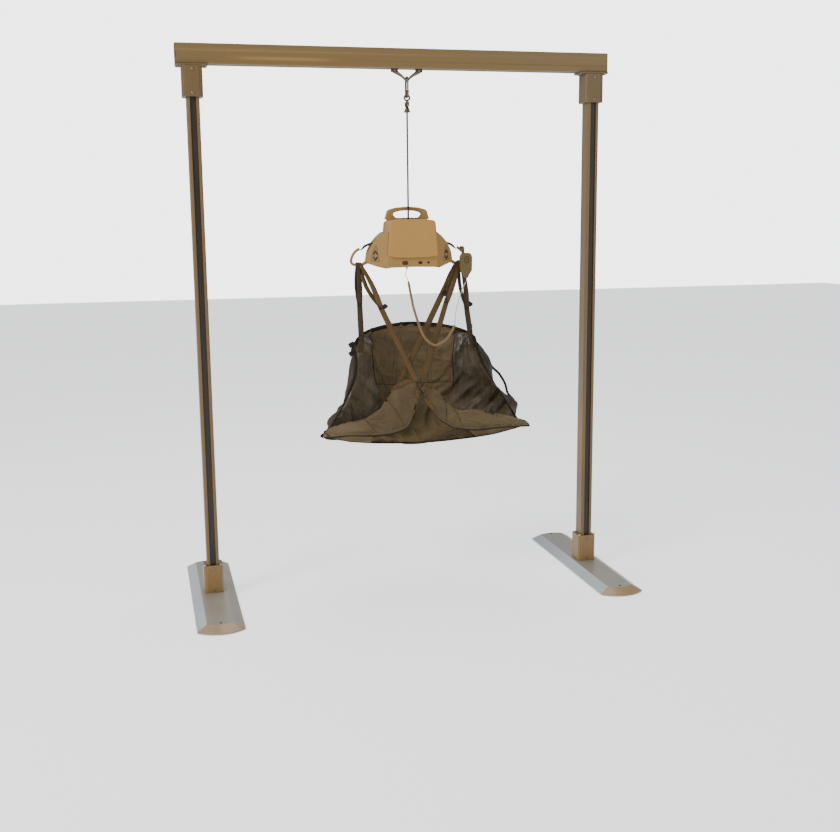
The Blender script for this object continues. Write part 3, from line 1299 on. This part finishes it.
shoulder_left = hook_strap("strap_shoulder_left", -0.223, SHOULDER_LEFT, "sling_webbing_dark",
                           split=0.17, spread=0.007, tail=0.012, layer=1)
leg_left = hook_strap("strap_leg_left", -0.213, (0.008, -0.168, 0.942), "sling_webbing",
                      split=0.205, spread=0.016, tail=0.024, tilt=0.9)
hook_strap("strap_leg_right_main", 0.213, (-0.044, -0.150, 0.925), "sling_webbing",
           split=0.12, spread=0.001, tail=0.020, tilt=0.05, width=0.027)
leg_right = hook_strap("strap_leg_right_second", 0.2190, (0.056, -0.160, 0.948),
                       "sling_webbing", split=0.185, spread=0.011, tail=0.022, tilt=0.9,
                       layer=1)
shoulder_right = hook_strap("strap_shoulder_right", 0.229, SHOULDER_RIGHT,
                            "sling_webbing_dark", split=0.20, spread=0.014, tail=0.012,
                            tilt=0.9, layer=2, seat_width=0.013)
tag("strap_tag_left", leg_left, shift=0.002, side=1.0)
tag("strap_tag_right", leg_right, shift=-0.03, side=-1.0)
tag("strap_tag_shoulder_r", shoulder_right, shift=-0.02, side=1.0, reach=0.008, width=0.030)
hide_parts("shoulder_straps")
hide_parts("leg_straps")

# Webbing sewn along the flaps' tips: name, side, (column, row) path, width, lift, points
FLAP_WEBBING = (
    ("flap_web_left", "left", [(5.05, 0.10), (5.6, 0.16), (6.3, 0.22), (6.95, 0.45)],
     0.022, 0.0008, 60),
    ("flap_web_right", "right", [(5.3, 1.82), (5.9, 1.80), (6.5, 1.72), (6.95, 1.45)],
     0.020, 0.0008, 60),
    ("flap_patch_left", "left", [(6.2, 1.75), (6.5, 1.72), (6.9, 1.6)], 0.020, 0.0008, 30),
    ("flap_web_right_top", "right", [(6.1, 0.3), (6.5, 0.4), (6.95, 0.6)],
     0.022, 0.0010, 30))
for name, side, path, width, lift, count in FLAP_WEBBING:
    seam(name, flaps[side][2], path, width, 0.0020, "sling_webbing", "sling_webbing", lift,
         count)

# strap anchors on the sling's corners
for side, name, anchor in ((-1, "left", 0.55), (1, "right", 7.5)):
    seam("sling_anchor_" + name, sling,
         [(anchor, 0.02), (anchor - 0.05 * side, 0.35), (anchor - 0.02 * side, 0.75),
          (anchor + 0.05 * side, 1.15)],
         width=0.024, proud=0.0022, material="sling_webbing_dark", slot="sling_webbing",
         lift=0.0006, count=50)

# sewn tails of the shoulder straps on the sling's corners
for name, corner, tail in (
        ("left", SHOULDER_LEFT,
         [(-0.1835, -0.006, 1.086), (-0.187, -0.010, 1.060), (-0.190, -0.016, 1.034)]),
        ("right", SHOULDER_RIGHT,
         [(0.3045, -0.006, 1.088), (0.307, -0.011, 1.062), (0.309, -0.017, 1.036)])):
    corner = np.array(corner)
    points = [corner + np.array([0, 0, 0.030]), corner] + [np.array(p) for p in tail]
    ribbon("sling_tail_" + name, points, [(1, 0.15, 0)],
           [0.0245, 0.0245, 0.0225, 0.0235, 0.021], 0.0030, "sling_webbing_dark", 50)
    for k, share in enumerate((0.02, 0.9)):    # from the corner to the tail's first point
        centre = points[1] * (1 - share) + points[2] * share
        ribbon(f"sling_tail_tack_{name}{k}",
               [centre + np.array([-0.0105, -0.0022, 0.002]),
                centre + np.array([0, -0.0026, 0]),
                centre + np.array([0.0105, -0.0022, -0.002])],
               [(0, 0, 1)], 0.0028, 0.0014, "stitch_thread", 14)

# side strap that stands off the right side panel
ribbon("sling_handle_right",
       [sling.point(7.4, 0.03) + np.array([0.003, 0, 0]),
        (0.3244, 0.012, 1.0669), (0.3658, 0.012, 1.0188), (0.4053, 0.012, 0.9481),
        (0.4403, 0.012, 0.9129), (0.4685, 0.012, 0.8666), (0.4815, 0.012, 0.8230),
        sling.point(7.15, 2.35) + np.array([0.004, 0, 0]),
        sling.point(7.15, 2.85) + np.array([0.002, 0, 0])],
       [(0.75, 0.66, 0.1)], 0.017, 0.0032, "binding_tape", 110, slot="sling_fabric")

# two tabs on the upper left edge
for k in range(2):
    root = sling.point(0.05, 0.06 + 0.3 * k)
    ribbon(f"sling_tab_{k}",
           [root + np.array([0.004, 0, 0]), root + np.array([-0.010, -0.004, 0.004]),
            root + np.array([-0.026, -0.008, -0.004])],
           [(0, 0.2, 1)], 0.020, 0.0034, "tag_webbing", 16, slot="sling_fabric")

# ------------------------------------------------------- lift strap and loop
PIN_Z = 2.062
STRAP_WIDTH = 0.025


def lift_band(name, top, bottom, count, turn):
    """Length of lift webbing; turn lists its angle about the vertical, in degrees."""
    return ribbon(name, [(LIFT_X, 0, z) for z in np.linspace(top, bottom, 8)],
                  [(math.sin(a), math.cos(a), 0) for a in np.radians(spread(turn, 24))],
                  STRAP_WIDTH, 0.0026, "lift_webbing", count, None, "webbing")


top_piece = lift_band("lift_strap_twist", 2.036, 1.998, 60, (0, 0))
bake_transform(top_piece)
strap_run = lift_band("lift_strap_run", 1.9985, 1.502, 260, (0, 1.5, 0, -1.5, 0))
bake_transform(strap_run)
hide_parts("lift_strap")


def strap_end_loop():
    """Webbing loop round the strap pin, with two rows of stitching below it."""
    lo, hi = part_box("strap_pin")
    radius = (hi.z - lo.z) / 2 + 0.0012
    points = [(LIFT_X, 0, 2.033), (LIFT_X + 0.0012, 0, 2.040), (LIFT_X + 0.003, 0, 2.049)]
    points += [(LIFT_X + radius * math.cos(t), 0, PIN_Z + radius * math.sin(t))
               for t in np.linspace(-0.42 * math.pi, 1.42 * math.pi, 19)]
    points += [(LIFT_X - 0.003, 0, 2.049), (LIFT_X - 0.0012, 0, 2.040),
               (LIFT_X - 0.0011, 0, 2.033)]
    loop = ribbon("strap_end_band", points, [(0, 1, 0)], STRAP_WIDTH, 0.0020, "lift_webbing",
                  110, "strap_fitting", "webbing")
    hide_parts("strap_end_loop")
    for k, z in enumerate((2.0335, 2.0395)):
        ribbon(f"strap_end_tack{k}",
               [(LIFT_X + 0.0024, -0.011, z), (LIFT_X + 0.0026, 0, z),
                (LIFT_X + 0.0024, 0.011, z)],
               [(0, 0, 1)], 0.0022, 0.0012, "stitch_thread", 12, "strap_fitting", "webbing")


strap_end_loop()

# -------------------------------------------------------------- handset cord
# Paths in millimetres (x, y, z), from the lift unit to the handset
CORD_TOP = [(12, -40, 1387), (12, -40, 1383), (5, -45, 1362), (14, -54, 1336)]
CORD_COIL = [(14, -54, 1336.5), (20, -80, 1272), (29, -100, 1211), (52, -135, 1122),
             (74, -148, 1088), (103, -153, 1070), (133, -151, 1079), (161, -145, 1098),
             (200, -121, 1149)]
CORD_END = [(200, -121, 1148), (207, -104, 1186), (216, -92, 1219), (230, -78, 1251),
            (252, -54, 1296), (271, -39, 1322), (273, -38, 1330)]
LEAD_RADIUS = 0.0017


def coil(name, points, coil_radius, wire_radius, pitch):
    """Close-wound helix along a path, its ends drawn in to the path."""
    path = catmull(points, 400)
    length = path_length(path)
    turns = length[-1] / pitch
    count = int(turns * 14)
    places = np.linspace(0, length[-1], count)
    centres = sample(places, length, path)
    directions = sample(places, length, tangents(path))
    wire = []
    for i, (a, b) in enumerate(carried_axes(directions, (0, 1, 0))):
        angle = 2 * math.pi * turns * i / (count - 1)
        draw = min(1.0, i / 30.0, (count - 1 - i) / 30.0)
        wire.append(centres[i]
                    + (a * math.cos(angle) + b * math.sin(angle)) * coil_radius * draw)
    wire = np.array(wire)
    stations = []
    for centre, point, along, place in zip(centres, wire, tangents(wire), places):
        inward = centre - point
        if np.linalg.norm(inward) <= 1e-5:
            inward = np.cross(along, [0, 1, 0.1])
        inward = unit(inward)
        a = unit(inward - (inward @ along) * along)
        stations.append((point, (a, np.cross(along, a)), wire_radius, place))
    return round_form(name, stations, 7, "cord_jacket", None)


def cord_lead(name, points, count):
    return tube(name, np.array(points) / 1000.0, LEAD_RADIUS, "lead_jacket", None,
                12, count)


cord = [cord_lead("cord_lead_top", CORD_TOP, 50),
        coil("cord_coil", np.array(CORD_COIL) / 1000.0, coil_radius=0.0042,
             wire_radius=0.00165, pitch=0.0034),
        cord_lead("cord_lead_end", CORD_END, 90)]
for part in cord:
    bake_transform(part)
gland = tube("cord_gland", [(0.012, -0.040, z) for z in (1.4115, 1.400, 1.392, 1.3865)],
             [0.0049, 0.0050, 0.0044, 0.0032], "dark_plastic", "lift_unit",
             16, 24)
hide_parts("handset_cable")

# ------------------------------------------------------------ small fittings
BOLT_PROFILE = [(0.0069, -0.0005), (0.0070, 0.0022), (0.0062, 0.0046), (0.0044, 0.0062),
                (0.0028, 0.0066), (0.0026, 0.0048), (0.0008, 0.0046)]    # radius, height
PLUG_PROFILE = [(0.0046, -0.001), (0.0050, 0.0006), (0.0046, 0.0014), (0.0030, 0.0013),
                (0.0022, 0.0002), (0.0008, 0.0001)]                      # radius, height


def floor_fittings():
    """Bolts on the base brackets and plugs at the ends of the floor plates."""
    lo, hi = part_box("base_brackets")
    post_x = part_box("posts")[1].x - 0.026
    for side, name in SIDES:
        for k, offset in enumerate((-0.0335, 0.0335)):
            lathe(f"bracket_bolt_{name[0]}{k}", BOLT_PROFILE,
                  (side * post_x + offset, lo.y + 0.0085, hi.z),
                  "zinc_plated", "gantry")
        for k, y in enumerate((-0.418, 0.418)):
            lathe(f"anchor_plug_{name[0]}{k}", PLUG_PROFILE, (side * post_x, y, 0.0300),
                  "dark_plastic", "gantry")


def latch_sleeves():
    """Rubber sleeves on the sprung latches."""
    latch_z = 1.496
    path = ((0.167, -0.0026), (0.175, -0.0050), (0.184, -0.0088), (0.192, -0.0136),
            (0.199, -0.0192))    # x from LIFT_X, z from latch_z
    for side, name in SIDES:
        ribbon("latch_sleeve_" + name,
               [(LIFT_X + side * x, 0, latch_z + z) for x, z in path], [(0, 1, 0)],
               [0.0138, 0.0142, 0.0142, 0.0140, 0.0136], 0.0098, "dark_plastic", 26,
               name + "_latch", "dark_plastic")


def hanger():
    """Two flat forged arms meeting in a rounded eye bar below the trolley."""
    lo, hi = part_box("v_hanger")
    top, half = hi.z - 0.006, (hi.x - lo.x) / 2 - 0.007
    drop = top - 2.168
    for side, name in SIDES:
        points = [(LIFT_X + side * half, 0, top),
                  (LIFT_X + side * half * 0.78, 0, top - 0.22 * drop),
                  (LIFT_X + side * half * 0.45, 0, top - 0.55 * drop),
                  (LIFT_X + side * 0.009, 0, 2.1700)]
        along = unit(np.array(points[-1]) - np.array(points[0]))
        ribbon("hanger_arm_" + name[0], points, [(-along[2], 0, along[0])],
               [0.0185, 0.0155, 0.0125, 0.0100], 0.0090, "hanger_paint", 40, "trolley", "zinc")
    bar_path = ((-0.0105, 2.1690), (-0.007, 2.1676), (0, 2.1673), (0.007, 2.1676),
                (0.0105, 2.1690))    # x from LIFT_X, z
    bar = tube("hanger_eye_bar", [(LIFT_X + x, 0, z) for x, z in bar_path], 0.0046,
               "hanger_paint", "trolley", 18, 30)
    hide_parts("v_hanger")


def ferrule():
    """Ferrule that clamps the webbing's end loop under the snap hook."""
    ring, squareness = 32, 0.55
    profile = [(0.0042, 0.0085, 2.0552), (0.0062, 0.0120, 2.0535), (0.0078, 0.0140, 2.0480),
               (0.0105, 0.0150, 2.0420), (0.0128, 0.0155, 2.0372), (0.0128, 0.0155, 2.0352),
               (0.0112, 0.0148, 2.0342)]    # half size in x, half size in y, z
    verts = []
    for half_x, half_y, z in profile:
        for j in range(ring):
            x, y = math.cos(TURN * j / ring), math.sin(TURN * j / ring)
            verts.append((LIFT_X + half_x * math.copysign(abs(x) ** squareness, x),
                          half_y * math.copysign(abs(y) ** squareness, y), z))
    sides, caps = ring_faces(len(profile), ring)
    make("strap_ferrule", verts, sides + caps, "ferrule_steel", "strap_fitting")


def hook_roots():
    """Moulded roots of the sling hooks."""
    path = ((0.1715, 0.0163), (0.178, 0.0136), (0.186, 0.0095), (0.194, 0.0050),
            (0.2035, 0.0003))    # x from LIFT_X, z from the hook seat
    for side, name in SIDES:
        tube("hook_root_" + name,
             [(LIFT_X + side * x, 0, HOOK_SEAT_Z + z) for x, z in path],
             [0.0088, 0.0086, 0.0080, 0.0071, 0.00612], "hook_plastic", "lift_unit",
             24, 40)


floor_fittings()
latch_sleeves()
hanger()
ferrule()
hook_roots()


# --------------------------------------------- floor, world, lights and camera
def add_floor():
    """Pale floor that glows a little, and more where the camera sees it directly."""
    bm = bmesh.new()
    bmesh.ops.create_grid(bm, x_segments=1, y_segments=1, size=14)
    mesh = bpy.data.meshes.new("floor")
    bm.to_mesh(mesh)
    bm.free()
    floor = bpy.data.objects.new("floor", mesh)
    bpy.context.scene.collection.objects.link(floor)
    floor.location = (0, 4.0, -0.0004)
    m = Shader("floor_pale")
    seen = m.node("ShaderNodeLightPath").outputs["Is Camera Ray"]
    m.set(color=(0.93, 0.93, 0.925, 1), rough=0.8, spec=0.15, glow_color=(0.97, 0.98, 1.0, 1),
          glow=m.plus(m.times(seen, 0.55), 0.50))
    mesh.materials.append(MATERIALS["floor_pale"])


def add_world():
    """Soft light on the scene behind a bright backdrop that only the camera sees."""
    world = bpy.data.worlds.new("world")
    bpy.context.scene.world = world
    world.use_nodes = True
    nodes, links = world.node_tree.nodes, world.node_tree.links
    ambient = nodes["Background"]
    backdrop = nodes.new("ShaderNodeBackground")
    for node, colour, strength in ((ambient, (0.93, 0.95, 1.0, 1), 0.56),
                                   (backdrop, (0.97, 0.98, 1.0, 1), 4.0)):
        node.inputs[0].default_value = colour
        node.inputs[1].default_value = strength
    light_path = nodes.new("ShaderNodeLightPath")
    mix = nodes.new("ShaderNodeMixShader")
    links.new(light_path.outputs["Is Camera Ray"], mix.inputs[0])
    links.new(ambient.outputs[0], mix.inputs[1])
    links.new(backdrop.outputs[0], mix.inputs[2])
    links.new(mix.outputs[0], nodes["World Output"].inputs["Surface"])


def area_light(name, location, aim, size, power, colour):
    light = bpy.data.lights.new(name, "AREA")
    light.energy = power
    light.size = size
    light.color = colour
    ob = bpy.data.objects.new(name, light)
    bpy.context.scene.collection.objects.link(ob)
    ob.location = location
    ob.rotation_euler = (Vector(aim) - Vector(location)).to_track_quat("-Z", "Y").to_euler()


def add_camera(location, yaw, pitch, roll, lens):
    """Camera turned yaw from +Y towards +X, pitched down and rolled (radians)."""
    data = bpy.data.cameras.new("camera")
    camera = bpy.data.objects.new("camera", data)
    bpy.context.scene.collection.objects.link(camera)
    bpy.context.scene.camera = camera
    forward = Vector((math.sin(yaw) * math.cos(pitch), math.cos(yaw) * math.cos(pitch),
                      -math.sin(pitch)))
    level = Vector((math.cos(yaw), -math.sin(yaw), 0))
    upright = level.cross(forward)
    right = level * math.cos(roll) + upright * math.sin(roll)
    up = upright * math.cos(roll) - level * math.sin(roll)
    pose = Matrix((right, up, -forward)).transposed().to_4x4()
    pose.translation = Vector(location)
    camera.matrix_world = pose
    data.sensor_width = 36.0
    data.lens = lens
    data.clip_end = 100


add_floor()
add_world()
area_light("key", location=(-4.2, -2.6, 4.4), aim=(0, 0, 1.1), size=1.6, power=195,
           colour=(1.0, 0.96, 0.90))
area_light("fill", location=(3.4, -4.6, 2.6), aim=(0, 0, 1.1), size=3.5, power=42,
           colour=(1.0, 0.98, 0.95))
area_light("top", location=(0.4, 1.6, 4.8), aim=(0, 0, 1.0), size=2.6, power=60,
           colour=(0.95, 0.97, 1.0))
add_camera(location=(-1.09927954, -4.73688297, 1.61461235), yaw=0.242585074,
           pitch=0.176956676, roll=-0.00980781672, lens=48.34725514)
